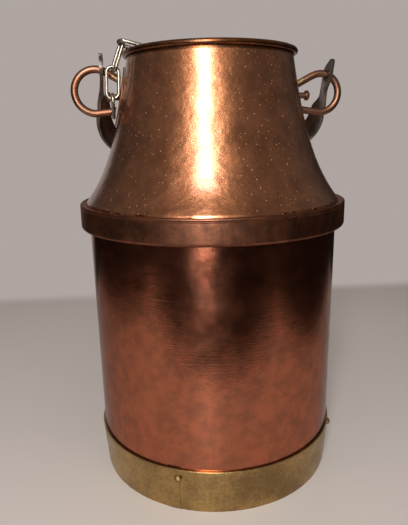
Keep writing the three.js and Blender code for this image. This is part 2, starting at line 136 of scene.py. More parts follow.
class MilkCanStage(bpy.types.PropertyGroup):
    floor: tint("Floor", "Colour of the pale floor", (0.66, 0.60, 0.555))
    wall: tint("Wall", "Colour of the wall behind", (0.425, 0.375, 0.357))
    room: tint("Room", "Colour of the dark room that the metal mirrors", (0.016, 0.013, 0.011))
    upper: tint("Upper room", "Colour of the room's lit upper part", (0.17, 0.152, 0.138))
    front: length("Front edge", "Where the pale floor ends in front", -0.335)
    back: length("Back edge", "Where the pale floor meets the wall", 0.483)
    left: length("Left edge", "Where the pale floor ends on the left", -0.518)
    right: length("Right edge", "Where the pale floor ends on the right", 0.385)
    flare: share("Flare", "How fast the right edge runs outwards behind the can", 0.45)
    edge: length("Softness", "Width of the pale floor's soft edge", 0.03)


class MilkCanSettings(bpy.types.PropertyGroup):
    body: bpy.props.PointerProperty(type=MilkCanBody)
    neck: bpy.props.PointerProperty(type=MilkCanNeck)
    bail: bpy.props.PointerProperty(type=MilkCanBail)
    chain: bpy.props.PointerProperty(type=MilkCanChain)
    metals: bpy.props.PointerProperty(type=MilkCanMetals)
    stage: bpy.props.PointerProperty(type=MilkCanStage)


# Modelling helpers

MM = 0.001
FIT = 0.3 * MM  # the gap between one sheet and the next
MERGE = 0.001 * MM
STUD_HOLE = 2.9 * MM
BAIL_HOLE = 4.9 * MM


class Undoable:
    """What the operators of this add-on share."""

    bl_options = {"REGISTER", "UNDO"}


def nothing_selected():
    if bpy.context.object and bpy.context.object.mode != "OBJECT":
        bpy.ops.object.mode_set(mode="OBJECT")
    bpy.ops.object.select_all(action="DESELECT")


def only(piece):
    nothing_selected()
    piece.select_set(True)
    bpy.context.view_layer.objects.active = piece


def edit(piece, kind="VERT", action="DESELECT"):
    only(piece)
    bpy.ops.object.mode_set(mode="EDIT")
    bpy.ops.mesh.select_mode(type=kind)
    bpy.ops.mesh.select_all(action=action)


def closed_up(merged=0.0):
    """Merges doubles, turns all faces of the edited piece outwards and leaves edit mode."""
    bpy.ops.mesh.select_all(action="SELECT")
    if merged:
        bpy.ops.mesh.remove_doubles(threshold=merged)
    bpy.ops.mesh.normals_make_consistent(inside=False)
    bpy.ops.object.mode_set(mode="OBJECT")


def placed(piece, matrix=None):
    """Puts a piece's place into its mesh, so that its object sits at the origin."""
    only(piece)
    if matrix is not None:
        piece.matrix_world = matrix @ piece.matrix_world
    bpy.ops.object.transform_apply(location=True, rotation=True, scale=True)
    return piece


def pick(piece, test, kind="VERT"):
    """Selects in edit mode the vertices or faces whose middle passes a test."""
    bpy.ops.object.mode_set(mode="OBJECT")
    mesh = piece.data
    for part in (mesh.polygons, mesh.edges, mesh.vertices):
        for item in part:
            item.select = False
    items = mesh.vertices if kind == "VERT" else mesh.polygons
    for item in items:
        item.select = test(item.co if kind == "VERT" else item.center)
    bpy.ops.object.mode_set(mode="EDIT")
    bpy.ops.mesh.select_mode(type=kind)


def arc(centre, radius, start, end, steps):
    """Points of an arc in the radius and height plane, with its angles in degrees."""
    turns = [math.radians(start + (end - start) * i / steps) for i in range(steps + 1)]
    return [(centre[0] + radius * math.cos(t), centre[1] + radius * math.sin(t)) for t in turns]


def dome(radius, base, rise, angles, core=0.0):
    """Points over a rounded head in the radius and height plane."""
    turns = [math.radians(a) for a in angles]
    return [(radius * math.cos(t) + core, base + rise * math.sin(t)) for t in turns]


def turned(name, outline, sides=224, closed=True):
    """A round piece: a circle that is extruded and scaled from point to point of its outline."""
    nothing_selected()
    radius, height = outline[0]
    bpy.ops.mesh.primitive_circle_add(vertices=sides, radius=radius, location=(0, 0, height))
    piece = placed(bpy.context.object)
    piece.name = name
    edit(piece, "EDGE", "SELECT")
    if not closed:
        bpy.ops.mesh.edge_face_add()
        bpy.ops.mesh.select_all(action="SELECT")
        bpy.ops.mesh.select_mode(type="EDGE")
    for next_radius, next_height in outline[1:] + (outline[:1] if closed else []):
        bpy.ops.mesh.extrude_edges_move(TRANSFORM_OT_translate={"value": (0, 0, next_height - height)})
        grow = next_radius / radius
        bpy.ops.transform.resize(value=(grow, grow, 1), center_override=(0, 0, next_height))
        radius, height = next_radius, next_height
    if not closed:
        bpy.ops.mesh.edge_face_add()
    closed_up(MERGE)
    return smooth(piece)


def smooth(piece, angle=35):
    only(piece)
    bpy.ops.object.shade_smooth_by_angle(angle=math.radians(angle))
    return piece


def modify(piece, kind, **values):
    """Adds a modifier, sets its values and applies it."""
    only(piece)
    made = piece.modifiers.new(kind.title(), kind)
    for key, value in values.items():
        setattr(made, key, value)
    bpy.ops.object.modifier_apply(modifier=made.name)
    return piece


def dented(piece, size, depth):
    """Gives a sheet the shallow dents of hand work, as a displacement of its mesh."""
    texture = bpy.data.textures.new("Dents", "CLOUDS")
    texture.noise_scale = size
    texture.noise_depth = 1
    return modify(piece, "DISPLACE", texture=texture, texture_coords="LOCAL", strength=depth)


def bevelled(piece, width, segments):
    """Softens the sharp edges of a piece."""
    sharp = math.radians(50)
    return modify(piece, "BEVEL", width=width, segments=segments, limit_method="ANGLE", angle_limit=sharp)


def cut(piece, tool):
    """Cuts one piece with another and takes the other away."""
    modify(piece, "BOOLEAN", object=tool, operation="DIFFERENCE", solver="EXACT")
    bpy.data.objects.remove(tool, do_unlink=True)
    return piece


def drill(radius, start, end, sides=32):
    """A plain round rod between two points, for cutting a hole."""
    nothing_selected()
    start, end = Vector(start), Vector(end)
    bpy.ops.mesh.primitive_cylinder_add(vertices=sides, radius=radius, depth=(end - start).length)
    piece = bpy.context.object
    turn = (end - start).to_track_quat("Z", "Y").to_matrix().to_4x4()
    return placed(piece, Matrix.Translation((start + end) / 2) @ turn)


def finish_piece(piece, body, nodes, name=""):
    """Gives a piece its finish, the body it rides on and the nodes that it replaces."""
    if name:
        coated(piece, name)
    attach(piece, body)
    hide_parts(*nodes)


# Shader helpers


def new_group(name, inputs, outputs):
    """A shader node group with named sockets. Returns it with its input and output nodes."""
    group = bpy.data.node_groups.new(name, "ShaderNodeTree")
    for label, default in inputs.items():
        kind = "Vector" if default is None else "Float" if isinstance(default, float) else "Color"
        socket = group.interface.new_socket(name=label, in_out="INPUT", socket_type="NodeSocket" + kind)
        if default is not None:
            socket.default_value = default
    for label, kind in outputs.items():
        group.interface.new_socket(name=label, in_out="OUTPUT", socket_type="NodeSocket" + kind)
    return group, group.nodes.new("NodeGroupInput"), group.nodes.new("NodeGroupOutput")


def node(tree, kind, **values):
    made = tree.nodes.new(kind)
    for key, value in values.items():
        if key in made.inputs.keys():
            made.inputs[key].default_value = value
        else:
            setattr(made, key, value)
    return made


def join(tree, *pairs):
    for start, end in pairs:
        tree.links.new(start, end)


def sums(tree, operation, first, second, clamp=False):
    """A Math node whose two inputs are sockets or numbers."""
    made = tree.nodes.new("ShaderNodeMath")
    made.operation, made.use_clamp = operation, clamp
    for socket, value in zip(made.inputs, (first, second)):
        if isinstance(value, (int, float)):
            socket.default_value = value
        else:
            tree.links.new(value, socket)
    return made.outputs[0]


def spread(tree, value, low, high, to_low=0.0, to_high=1.0, kind="SMOOTHSTEP"):
    """A Map Range node on one value."""
    made = tree.nodes.new("ShaderNodeMapRange")
    made.interpolation_type = kind
    made.inputs["From Min"].default_value = low
    made.inputs["From Max"].default_value = high
    made.inputs["To Min"].default_value = to_low
    made.inputs["To Max"].default_value = to_high
    tree.links.new(value, made.inputs["Value"])
    return made.outputs["Result"]


def blended(tree, mask, first, second):
    """A colour Mix node whose inputs are sockets or colours."""
    made = tree.nodes.new("ShaderNodeMix")
    made.data_type = "RGBA"
    for socket, value in ((made.inputs[0], mask), (made.inputs[6], first), (made.inputs[7], second)):
        if isinstance(value, bpy.types.NodeSocket):
            tree.links.new(value, socket)
        else:
            socket.default_value = value
    return made.outputs[2]


def split(tree, vector):
    """The sockets of a vector's X, Y and Z."""
    made = node(tree, "ShaderNodeSeparateXYZ")
    join(tree, (vector, made.inputs[0]))
    return made.outputs


def noise(tree, vector, scale, detail, roughness):
    made = node(tree, "ShaderNodeTexNoise", Scale=scale, Detail=detail, Roughness=roughness)
    join(tree, (vector, made.inputs["Vector"]))
    return made.outputs["Fac"]


def scaled(group, start, made, scale, finer):
    """Sets a group's texture on the group's vector, at a share of its scale."""
    join(
        group,
        (start.outputs["Vector"], made.inputs["Vector"]),
        (sums(group, "MULTIPLY", scale, finer), made.inputs["Scale"]),
    )
    return made


def hammer_group(name):
    """Overlapping shallow hammer marks, as a height, from cells of two sizes and a slow swell."""
    group, start, end = new_group(name, {"Vector": None, "Size": 0.006}, {"Height": "Float"})
    scale = sums(group, "DIVIDE", 1.0, start.outputs["Size"])
    cells = {"feature": "SMOOTH_F1", "Smoothness": 0.35}
    height = 0.0
    for kind, values, finer, depth in (
        ("ShaderNodeTexVoronoi", cells, 1.0, 1.0),
        ("ShaderNodeTexVoronoi", cells, 2.1, 0.4),
        ("ShaderNodeTexNoise", {"Detail": 2, "Roughness": 0.5}, 0.28, 2.2),
    ):
        made = scaled(group, start, node(group, kind, **values), scale, finer)
        height = sums(group, "ADD", height, sums(group, "MULTIPLY", made.outputs[0], depth))
    join(group, (height, end.inputs["Height"]))


def spun_group(name):
    """Fine lines round a turned sheet, as a height."""
    group, start, end = new_group(name, {"Vector": None, "Size": 0.001}, {"Height": "Float"})
    parts = split(group, start.outputs["Vector"])
    whole = node(group, "ShaderNodeCombineXYZ")
    lines = node(group, "ShaderNodeTexNoise", Scale=1.0, Detail=3, Roughness=0.65)
    across = 14.0
    join(
        group,
        (sums(group, "MULTIPLY", parts["X"], across), whole.inputs["X"]),
        (sums(group, "MULTIPLY", parts["Y"], across), whole.inputs["Y"]),
        (sums(group, "DIVIDE", parts["Z"], start.outputs["Size"]), whole.inputs["Z"]),
        (whole.outputs[0], lines.inputs["Vector"]),
        (lines.outputs["Fac"], end.inputs["Height"]),
    )


FLECK_COLOUR = (0.46, 0.23, 0.095, 1)


def patina_group(name):
    """Metal that is browned in clouds and flecked with small pale, non-metallic spots."""
    group, start, end = new_group(
        name,
        {
            "Vector": None, "Bright": (0.6, 0.3, 0.2, 1), "Dark": (0.2, 0.1, 0.05, 1),
            "Clouds": 0.03, "Stains": 0.5, "Flecks": 0.5,
        },
        {"Color": "Color", "Stain": "Float", "Fleck": "Float"},
    )
    scale = sums(group, "DIVIDE", 1.0, start.outputs["Clouds"])
    clouds = scaled(group, start, node(group, "ShaderNodeTexNoise", Detail=6, Roughness=0.62), scale, 1.0)
    grit = scaled(group, start, node(group, "ShaderNodeTexNoise", Detail=3, Roughness=0.6), scale, 16.0)
    specks = scaled(group, start, node(group, "ShaderNodeTexVoronoi", feature="F1"), scale, 5.2)
    mottled = sums(group, "ADD", clouds.outputs["Fac"], sums(group, "MULTIPLY", grit.outputs["Fac"], 0.35))
    stain = spread(group, mottled, 0.5, 0.86)
    stain = sums(group, "MULTIPLY", stain, start.outputs["Stains"], clamp=True)
    lonely = node(group, "ShaderNodeSeparateColor")
    join(group, (specks.outputs["Color"], lonely.inputs[0]))
    fleck = spread(group, specks.outputs["Distance"], 0.09, 0.22, 1.0, 0.0)
    fleck = sums(group, "MULTIPLY", fleck, spread(group, lonely.outputs[0], 0.35, 0.9))
    fleck = sums(group, "MULTIPLY", fleck, start.outputs["Flecks"], clamp=True)
    base = blended(group, stain, start.outputs["Bright"], start.outputs["Dark"])
    lit = blended(group, fleck, base, FLECK_COLOUR)
    join(group, (lit, end.inputs["Color"]), (stain, end.inputs["Stain"]), (fleck, end.inputs["Fleck"]))


SHARED_GROUPS = {"Patina": patina_group, "Hammer marks": hammer_group, "Spun lines": spun_group}


def grouped(tree, name, place, **values):
    """Places a shared node group, which is built on its first use, with its own values."""
    if name not in bpy.data.node_groups:
        SHARED_GROUPS[name](name)
    made = node(tree, "ShaderNodeGroup", node_tree=bpy.data.node_groups[name], **values)
    join(tree, (place, made.inputs["Vector"]))
    return made


def metal(
    name, bright, dark, clouds, stains, rough, bumps=(),
    flecks=0.1, uneven=0.05, coat=0.0, dulled=0.03, rims=1.0, stretch=0.0,
):
    """A metal finish: patina for its colour, and marks, lines or grain for its bumps."""
    made = bpy.data.materials.new(name)
    made.use_nodes = True
    tree = made.node_tree
    shader = tree.nodes["Principled BSDF"]
    sockets = {
        "Metallic": 1.0, "Specular Tint": (rims, rims, rims, 1),
        "Coat Weight": coat, "Coat Roughness": 0.2, "Coat IOR": 1.65,
    }
    if stretch:
        sockets.update({"Anisotropic": stretch, "Anisotropic Rotation": 0.25})
        tangent = node(tree, "ShaderNodeTangent", direction_type="RADIAL", axis="Z")
        join(tree, (tangent.outputs[0], shader.inputs["Tangent"]))
    for key, value in sockets.items():
        shader.inputs[key].default_value = value
    place = node(tree, "ShaderNodeTexCoord").outputs["Object"]
    look = grouped(
        tree, "Patina", place,
        Bright=(*bright, 1), Dark=(*dark, 1), Clouds=clouds, Stains=stains, Flecks=flecks,
    )
    join(tree, (look.outputs["Color"], shader.inputs["Base Color"]))
    if flecks:
        join(tree, (sums(tree, "SUBTRACT", 1.0, look.outputs["Fleck"]), shader.inputs["Metallic"]))
    patches = noise(tree, place, 55.0, 5, 0.65)
    gloss = spread(tree, patches, 0.3, 0.7, rough - uneven, rough + uneven, "LINEAR")
    gloss = sums(tree, "ADD", gloss, sums(tree, "MULTIPLY", look.outputs["Stain"], dulled))
    gloss = sums(tree, "ADD", gloss, sums(tree, "MULTIPLY", look.outputs["Fleck"], 0.3), clamp=True)
    join(tree, (gloss, shader.inputs["Roughness"]))
    target = shader.inputs["Normal"]
    for kind, size, depth in reversed(bumps):
        if kind == "Grain":
            height = noise(tree, place, 1.0 / size, 3, 0.6)
        else:
            height = grouped(tree, kind, place, Size=size).outputs["Height"]
        bump = node(tree, "ShaderNodeBump", Strength=1.0, Distance=depth)
        join(tree, (height, bump.inputs["Height"]), (bump.outputs["Normal"], target))
        target = bump.inputs["Normal"]
    return made


def finish(name):
    """One of the can's finishes, made on its first use from its row."""
    if name in bpy.data.materials:
        return bpy.data.materials[name]
    m = bpy.context.scene.milk_can.metals

    def grain(size, depth):
        return ("Grain", size * MM, depth * MM)

    rows = {
        "Hammered copper": dict(
            bright=m.neck, dark=m.neck_dark, clouds=0.014, stains=0.9, rough=0.31,
            bumps=[("Hammer marks", 0.0045, m.hammer_depth), grain(0.9, 0.06)],
            flecks=0.9, uneven=0.06, coat=0.9, dulled=0.06, rims=0.85,
        ),
        # The rolled rim: a darker copy of the neck's copper. Its base is the neck's patina colour, with the
        # bail's tarnish in random clouds. The darkening of the whole rim is painted shade.
        "Rim copper with painted shade": dict(
            bright=m.neck_dark, dark=m.bail_dark, clouds=0.01, stains=0.7, rough=0.3,
            bumps=[grain(2, 0.04)], flecks=0.2,
        ),
        "Spun copper": dict(
            bright=m.body, dark=m.body_dark, clouds=0.012, stains=0.6, rough=0.19,
            bumps=[("Hammer marks", 0.006, 0.00003), ("Spun lines", 0.0009, 0.00004), grain(1.4, 0.05)],
            flecks=0.12, rims=0.7, stretch=0.6,
        ),
        "Collar copper": dict(
            bright=m.collar, dark=[c * 0.5 for c in m.body_dark], clouds=0.012, stains=0.8, rough=0.4,
            bumps=[("Spun lines", 0.0011, 0.00005), grain(1.6, 0.03)], flecks=0.2, rims=0.6,
        ),
        "Ear copper": dict(
            bright=m.ear, dark=m.neck_dark, clouds=0.012, stains=0.6, rough=0.42, flecks=0.0, rims=0.6,
        ),
        "Bail patina": dict(
            bright=m.bail, dark=m.bail_dark, clouds=0.02, stains=0.8, rough=0.42,
            bumps=[grain(2, 0.08)], uneven=0.08,
        ),
        "Aged brass": dict(
            bright=m.brass, dark=m.brass_dark, clouds=0.035, stains=0.9, rough=0.34,
            bumps=[grain(2, 0.05)], uneven=0.08,
        ),
        "Rivet brass": dict(
            bright=m.brass, dark=m.brass_dark, clouds=0.003, stains=1.0, rough=0.5,
            bumps=[grain(1, 0.04)], flecks=0.0,
        ),
        "Brazing": dict(
            bright=m.brass, dark=m.ear, clouds=0.004, stains=0.7, rough=0.36,
            bumps=[grain(1, 0.08)], flecks=0.2, uneven=0.08,
        ),
        "Chain steel": dict(
            bright=m.steel, dark=[c * 0.6 for c in m.steel], clouds=0.01, stains=0.5, rough=0.33,
            flecks=0.0, uneven=0.04,
        ),
        "Tinned inside": dict(
            bright=m.tin, dark=[c * 0.6 for c in m.tin], clouds=0.03, stains=0.8, rough=0.42,
            bumps=[("Hammer marks", 0.008, 0.0001), grain(2, 0.06)], uneven=0.08,
        ),
    }
    return metal(name, **rows[name])


# The can


def body_radius_at(height):
    b = bpy.context.scene.milk_can.body
    low = height < b.band_height
    first = (b.foot_radius, b.foot_height) if low else (b.band_radius, b.band_height)
    last = (b.band_radius, b.band_height) if low else (b.top_radius, b.top_height)
    return first[0] + (last[0] - first[0]) * (height - first[1]) / (last[1] - first[1])


def coated(piece, name, test=None):
    """Gives a piece a finish, for all its faces or for those that pass a test."""
    piece.data.materials.append(finish(name))
    for face in piece.data.polygons:
        if test and test(face):
            face.material_index = len(piece.data.materials) - 1


class MILKCAN_OT_body(Undoable, bpy.types.Operator):
    """Turns the straight body and its dished base plate"""

    bl_idname = "milkcan.body"
    bl_label = "Body and base"

    def execute(self, context):
        b = context.scene.milk_can.body
        m = context.scene.milk_can.metals
        heights = [b.foot_height + (b.band_height - b.foot_height) * i / 8 for i in range(8)]
        heights += [b.band_height + (b.top_height - b.band_height) * i / 50 for i in range(51)]
        outside = [(body_radius_at(h), h) for h in heights]
        inside = [(r - b.sheet, h) for r, h in reversed(outside)]
        dent_size = 11 * MM
        shell = dented(turned("body_sheet", outside + inside, sides=256), dent_size, m.body_dent)
        coated(shell, "Spun copper")
        coated(shell, "Tinned inside", lambda f: f.normal.xy.dot(f.center.xy) < 0)
        finish_piece(shell, "can", ["body_shell"])

        top, flange, crown, corner = 9 * MM, 6 * MM, 3 * MM, 3 * MM
        reach = body_radius_at(top - corner) - b.sheet - FIT
        low = body_radius_at(top - flange) - b.sheet - FIT
        dished = [(0.05 * MM, top + crown)] + [
            (reach * s / 12, top + crown * (1 - (s / 12) ** 2)) for s in range(1, 12)
        ]
        outer = arc((reach - corner, top - corner), corner, 90, 0, 6)
        inner = arc((reach - corner, top - corner), corner - b.sheet, 0, 90, 6)
        under = [(r, h - b.sheet) for r, h in reversed(dished)]
        foot = [(low, top - flange), (low - b.sheet, top - flange)]
        plate = turned("base_dish", dished + outer + foot + inner + under, sides=160, closed=False)
        coated(plate, "Spun copper")
        coated(plate, "Tinned inside", lambda f: f.normal.z > 0.5)
        finish_piece(plate, "can", ["base_plate"])
        return {"FINISHED"}


FOOT_RIVET_TURNS = (-116.5, -20.5, 63.5, 153.5)
FOOT_RIVET_HEIGHT = 30 * MM
ON_ITS_SIDE = Matrix.Rotation(math.pi / 2, 4, "Y")


def copied(piece, name, place):
    """A copy of a piece with its own mesh, at a place."""
    twin = piece.copy()
    twin.data = piece.data.copy()
    twin.name = name
    bpy.context.collection.objects.link(twin)
    return placed(twin, place)


class MILKCAN_OT_foot(Undoable, bpy.types.Operator):
    """Turns the brass foot band with its lapped seam, and sets its rivets"""

    bl_idname = "milkcan.foot"
    bl_label = "Foot band and rivets"

    def execute(self, context):
        b = context.scene.milk_can.body
        edge, lap_rise = 0.5 * MM, 0.5 * MM
        foot = body_radius_at(b.foot_height) + FIT
        top = body_radius_at(b.band_height) + FIT
        outline = [(foot, 0.0), (foot + b.band_sheet - edge, 0.0)]
        outline += arc((foot + b.band_sheet - edge, edge), edge, -60, 0, 3)
        outline += [
            (foot + b.band_sheet + (top - foot) * i / 8, edge + (b.band_height - 2 * edge) * i / 8)
            for i in range(1, 8)
        ]
        outline += arc((top + b.band_sheet - edge, b.band_height - edge), edge, 0, 90, 4)
        outline += [(top, b.band_height)]
        band = turned("foot_band_sheet", outline, sides=360)
        seam = math.radians(FOOT_RIVET_TURNS[0])

        def in_lap(centre):
            turn = math.atan2(centre.y, centre.x) - seam
            turn = (turn + math.pi) % (2 * math.pi) - math.pi
            middle = foot + 1.0 * MM + (top - foot) * centre.z / b.band_height
            outer = centre.z > edge and math.hypot(centre.x, centre.y) > middle
            return outer and b.lap_start < turn * foot < b.lap_start + b.lap_width

        edit(band, "FACE")
        pick(band, in_lap, "FACE")
        bpy.ops.mesh.extrude_region_shrink_fatten(TRANSFORM_OT_shrink_fatten={"value": lap_rise})
        bpy.ops.object.mode_set(mode="OBJECT")
        smooth(band, 30)
        finish_piece(band, "can", ["foot_band"], "Aged brass")

        slope = (b.band_radius - b.foot_radius) / (b.band_height - b.foot_height)
        face = body_radius_at(FOOT_RIVET_HEIGHT) + FIT + b.band_sheet
        radius, rise, shank = 3.2 * MM, 2.6 * MM, 1.5 * MM
        skirt = FIT + slope * radius
        head = [(shank, -3.9 * MM), (shank, skirt), (radius - 0.2 * MM, skirt)]
        head += dome(radius, skirt, rise, range(8, 88, 10))
        head += [(0.12 * MM, skirt + rise)]
        tail = [(0.12 * MM, -4.9 * MM), (2.4 * MM, -4.8 * MM), (2.6 * MM, -4.4 * MM), (2.6 * MM, -3.9 * MM)]
        model = turned("foot_rivet", tail + head, sides=40, closed=False)
        for number, rivet_turn in enumerate(FOOT_RIVET_TURNS, 1):
            place = Matrix.Rotation(math.radians(rivet_turn), 4, "Z")
            place = place @ Matrix.Translation((face, 0, FOOT_RIVET_HEIGHT)) @ ON_ITS_SIDE
            rivet = copied(model, f"foot_rivet_head_{number}", place)
            finish_piece(rivet, "can", [f"foot_rivet_{number}"], "Rivet brass")
        bpy.data.objects.remove(model, do_unlink=True)
        return {"FINISHED"}


def neck_curve(share_up):
    """The neck's outline: a point and its outward normal at a share of the way up."""
    n = bpy.context.scene.milk_can.neck
    drop, rise = n.skirt_radius - n.mouth_radius, n.mouth_height - n.shoulder_height
    pulls = [
        Vector((n.skirt_radius - drop * inwards, n.shoulder_height + rise * up))
        for inwards, up in ((0, 0), (0.201, 0.101), (0.677, 0.278), (1, 1))
    ]
    t, u = share_up, 1 - share_up
    point = pulls[0] * u**3 + pulls[1] * 3 * u * u * t + pulls[2] * 3 * u * t * t + pulls[3] * t**3
    run = (pulls[1] - pulls[0]) * u * u + (pulls[2] - pulls[1]) * 2 * u * t + (pulls[3] - pulls[2]) * t * t
    run.normalize()
    return point, Vector((run.y, -run.x))


def neck_line(distance, steps):
    spots = [neck_curve(i / steps) for i in range(steps + 1)]
    return [tuple(point + out * distance) for point, out in spots]


def neck_radius(height):
    low, high = 0.0, 1.0
    for _ in range(40):
        middle = (low + high) / 2
        if neck_curve(middle)[0].y < height:
            low = middle
        else:
            high = middle
    return neck_curve(low)[0].x


STUD_HEIGHT = 322.6 * MM


def stud_hole(side=1):
    """The drill for a stud's hole, at the right (1) or the left (-1)."""
    near, far = side * 60 * MM, side * 95 * MM
    return drill(STUD_HOLE, (near, 0, STUD_HEIGHT), (far, 0, STUD_HEIGHT))


class MILKCAN_OT_neck(Undoable, bpy.types.Operator):
    """Turns the hammered shoulder and neck with its rolled rim"""

    bl_idname = "milkcan.neck"
    bl_label = "Neck and rim"

    def execute(self, context):
        n = context.scene.milk_can.neck
        sheet = context.scene.milk_can.body.sheet
        centre = (n.rim_radius - n.roll_radius, n.rim_height - n.roll_radius)
        half_up = (n.skirt_foot + n.shoulder_height) / 2
        outline = [(n.skirt_radius, n.skirt_foot), (n.skirt_radius, half_up)]
        outline += neck_line(0.0, 60)
        outline += arc(centre, n.roll_radius - sheet, 180, -105, 22)
        outline += arc(centre, n.roll_radius, -105, 180, 30)
        outline += list(reversed(neck_line(-sheet, 44)))
        outline += [(n.skirt_radius - sheet, n.skirt_foot)]
        dent_size, dent_depth = 7 * MM, context.scene.milk_can.metals.neck_dent
        neck = dented(turned("neck_sheet", outline, sides=300), dent_size, dent_depth)
        for side in (1, -1):
            cut(neck, stud_hole(side))
        smooth(neck)
        neck.data.materials.clear()
        coated(neck, "Hammered copper")

        def inside(face):
            radius = math.hypot(face.center.x, face.center.y)
            low = face.center.z < n.mouth_height + 3 * MM and radius < n.skirt_radius
            return low and face.normal.xy.dot(face.center.xy) < 0

        coated(neck, "Tinned inside", inside)
        # The rolled rim takes a darker copy of the copper: painted shade.
        coated(neck, "Rim copper with painted shade", lambda f: f.center.z > n.mouth_height)
        finish_piece(neck, "can", ["neck_shell"])

        nothing_selected()
        wire_radius = 0.9 * MM
        bpy.ops.mesh.primitive_torus_add(
            major_radius=centre[0], minor_radius=wire_radius, major_segments=160, minor_segments=12,
            location=(0, 0, centre[1]),
        )
        wire = placed(context.object)
        wire.name = "rim_wire_ring"
        finish_piece(smooth(wire, 60), "can", ["rim_wire"], "Chain steel")
        return {"FINISHED"}


class MILKCAN_OT_collar(Undoable, bpy.types.Operator):
    """Turns the hollow collar between the body and the shoulder"""

    bl_idname = "milkcan.collar"
    bl_label = "Shoulder collar"

    def execute(self, context):
        b = context.scene.milk_can.body
        n = context.scene.milk_can.neck
        foot, top, sheet = 217.6 * MM, 237.9 * MM, 1.2 * MM
        roll, corner_radius, groove = 1.4 * MM, 2.6 * MM, 0.5 * MM
        skirt, body = n.skirt_radius + FIT, b.top_radius + FIT
        bead = (b.collar_radius - roll, top - roll)
        corner = (b.collar_radius - corner_radius, foot + corner_radius)
        wall_top = bead[1] - roll
        inner = b.collar_radius - sheet - groove
        lip = bead[1] + groove
        outline = [(body, foot), (body + 1.2 * MM, foot)]
        outline += arc(corner, corner_radius, -90, 0, 10)
        outline += [
            (b.collar_radius - groove * inwards, wall_top - groove * down)
            for inwards, down in ((0, 2), (0, 1), (0.7, 0.4), (1, 0))
        ]
        outline += arc(bead, roll, -50, 150, 14)
        outline += [(skirt, lip), (skirt, lip - sheet), (inner, lip - sheet), (inner, wall_top - groove)]
        outline += [(b.collar_radius - sheet, wall_top - groove * 2)]
        outline += arc(corner, corner_radius - sheet, 0, -90, 6) + [(body, foot + sheet)]
        collar = turned("collar_ring", outline, sides=256)
        finish_piece(collar, "can", ["shoulder_collar"], "Collar copper")
        return {"FINISHED"}


# Ears

EAR_ROD = 3.0 * MM


def ear_sizes(**sizes):
    return {name: size * MM for name, size in sizes.items()}


EARS = {
    "right": ear_sizes(out=96.3, height=324.5, radius=15.9, upper=329.5, lower=311.6),
    "left": ear_sizes(out=93.6, height=327.0, radius=17.1, upper=333.4, lower=312.2),
}
HALF_ROUND = Matrix.Rotation(math.pi, 4, "Z")


def ear_route(ear):
    """Points along an ear's rod, from the plate over the ring and back to the plate."""
    over = 5 * MM
    upper, lower = ear["upper"], ear["lower"]
    start, end = neck_radius(upper) - over, neck_radius(lower) - over
    bend = arc((ear["out"], ear["height"]), ear["radius"], 105, -105, 9)
    points = [(start, upper - over / 2), ((start + bend[0][0]) / 2 + over / 4, (upper + bend[0][1]) / 2)]
    points += bend
    points += [((end + bend[-1][0]) / 2 + over / 4, (lower + bend[-1][1]) / 2), (end, lower + over / 5)]
    return [Vector((x, 0, z)) for x, z in points]


def smooth_route(points, steps=8):
    """A curve through all points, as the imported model's own rods have."""
    route = []
    ends = [points[0] * 2 - points[1], *points, points[-1] * 2 - points[-2]]
    for i in range(1, len(ends) - 2):
        p0, p1, p2, p3 = ends[i - 1 : i + 3]
        spans = [max((b - a).length, 1e-9) ** 0.5 for a, b in ((p0, p1), (p1, p2), (p2, p3))]
        t1 = ((p1 - p0) / spans[0] - (p2 - p0) / (spans[0] + spans[1]) + (p2 - p1) / spans[1]) * spans[1]
        t2 = ((p2 - p1) / spans[1] - (p3 - p1) / (spans[1] + spans[2]) + (p3 - p2) / spans[2]) * spans[1]
        for s in range(steps):
            t = s / steps
            a, b = 2 * t**3 - 3 * t * t + 1, t**3 - 2 * t * t + t
            c, d = -2 * t**3 + 3 * t * t, t**3 - t * t
            route.append(p1 * a + t1 * b + p2 * c + t2 * d)
    return route + [points[-1]]


def heading(run):
    """A direction's angle from the Z axis in the XZ plane."""
    return math.atan2(run.x, run.z)


def swept(piece, route, widths=None):
    """Draws a section out along a route in the XZ plane, square to it and with a width at each point."""
    edit(piece, "FACE", "SELECT")
    turn = heading(route[1] - route[0])
    for i in range(1, len(route)):
        bpy.ops.mesh.extrude_region_move(TRANSFORM_OT_translate={"value": route[i] - route[i - 1]})
        next_turn = heading(route[min(i + 1, len(route) - 1)] - route[i - 1])
        step = (next_turn - turn + math.pi) % (2 * math.pi) - math.pi
        bpy.ops.transform.rotate(value=-step, orient_axis="Y", center_override=route[i])
        if widths:
            grow = widths[i] / widths[i - 1]
            bpy.ops.transform.resize(value=(1, grow, 1), center_override=route[i])
        turn = next_turn


def rod_along(name, route, radius, sides=24):
    """A round rod along a route in the XZ plane."""
    nothing_selected()
    bpy.ops.mesh.primitive_circle_add(vertices=sides, radius=radius, fill_type="NGON")
    piece = bpy.context.object
    piece.name = name
    turn = Matrix.Rotation(heading(route[1] - route[0]), 4, "Y")
    placed(piece, Matrix.Translation(route[0]) @ turn)
    swept(piece, route)
    closed_up()
    return piece


